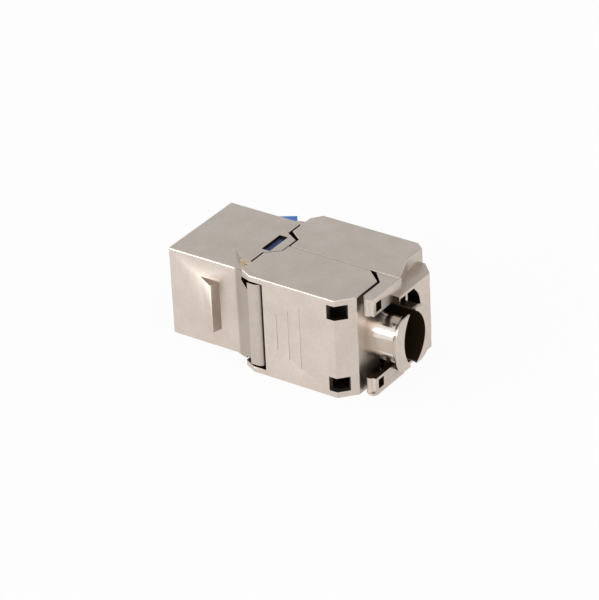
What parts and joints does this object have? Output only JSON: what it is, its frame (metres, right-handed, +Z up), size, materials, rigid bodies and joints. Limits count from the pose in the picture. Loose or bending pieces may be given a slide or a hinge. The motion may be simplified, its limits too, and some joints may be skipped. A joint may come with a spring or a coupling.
{
  "type": "keystone jack",
  "caption": "Shielded keystone jack with a die-cast plug housing, a sprung panel latch and hinged rear wings that lock together and close round the cable.",
  "frame": {"origin": "centre of the port face", "axes": "+X from the port face to the cable outlet; +Y from the fixed ridge to the sprung latch; +Z up, out of the upper wing plates"},
  "size_m": [0.0384, 0.0221, 0.0162],
  "materials": {
    "nickel_plate": "satin nickel plating on die-cast zinc",
    "latch_plastic": "smooth moulded blue",
    "guide_plastic": "dark navy moulding",
    "cap_plastic": "dark moulding",
    "board_laminate": "green laminate",
    "contact_gold": "gilt",
    "fork_tin": "tinned",
    "spring_strip": "bright nickel"
  },
  "bodies": {
    "housing": {"front_housing": "nickel_plate", "port_insert": "guide_plastic", "contact_1": "contact_gold", "contact_2": "contact_gold", "contact_3": "contact_gold", "contact_4": "contact_gold", "contact_5": "contact_gold", "contact_6": "contact_gold", "contact_7": "contact_gold", "contact_8": "contact_gold", "shield_spring_lower": "spring_strip", "shield_spring_upper": "spring_strip", "circuit_board": "board_laminate", "terminal_block": "guide_plastic", "fork_1": "fork_tin", "fork_2": "fork_tin", "fork_3": "fork_tin", "fork_4": "fork_tin", "fork_5": "fork_tin", "fork_6": "fork_tin", "fork_7": "fork_tin", "fork_8": "fork_tin", "wire_cap": "cap_plastic"},
    "far_wing": {"far_wing": "nickel_plate"},
    "near_wing": {"near_wing": "nickel_plate"},
    "keystone_latch": {"keystone_latch": "latch_plastic"}
  },
  "joints": [
    {"name": "far_wing_hinge", "type": "hinge", "parent": "housing", "child": "far_wing", "pos_m": [0.01658, 0.00887, 0], "axis": [0, 0, 1], "range_deg": [0, 95]},
    {"name": "near_wing_hinge", "type": "hinge", "parent": "housing", "child": "near_wing", "pos_m": [0.01658, -0.00887, 0], "axis": [0, 0, -1], "range_deg": [0, 95]},
    {"name": "keystone_latch_flex", "type": "hinge", "parent": "housing", "child": "keystone_latch", "pos_m": [0.00235, 0.00735, 0], "axis": [0, 0, -1], "range_deg": [0, 14], "stiffness_Nm_per_rad": 0.185}
  ],
  "couplings": [
    {"joint": "near_wing_hinge", "follows": "far_wing_hinge", "ratio": 1}
  ]
}
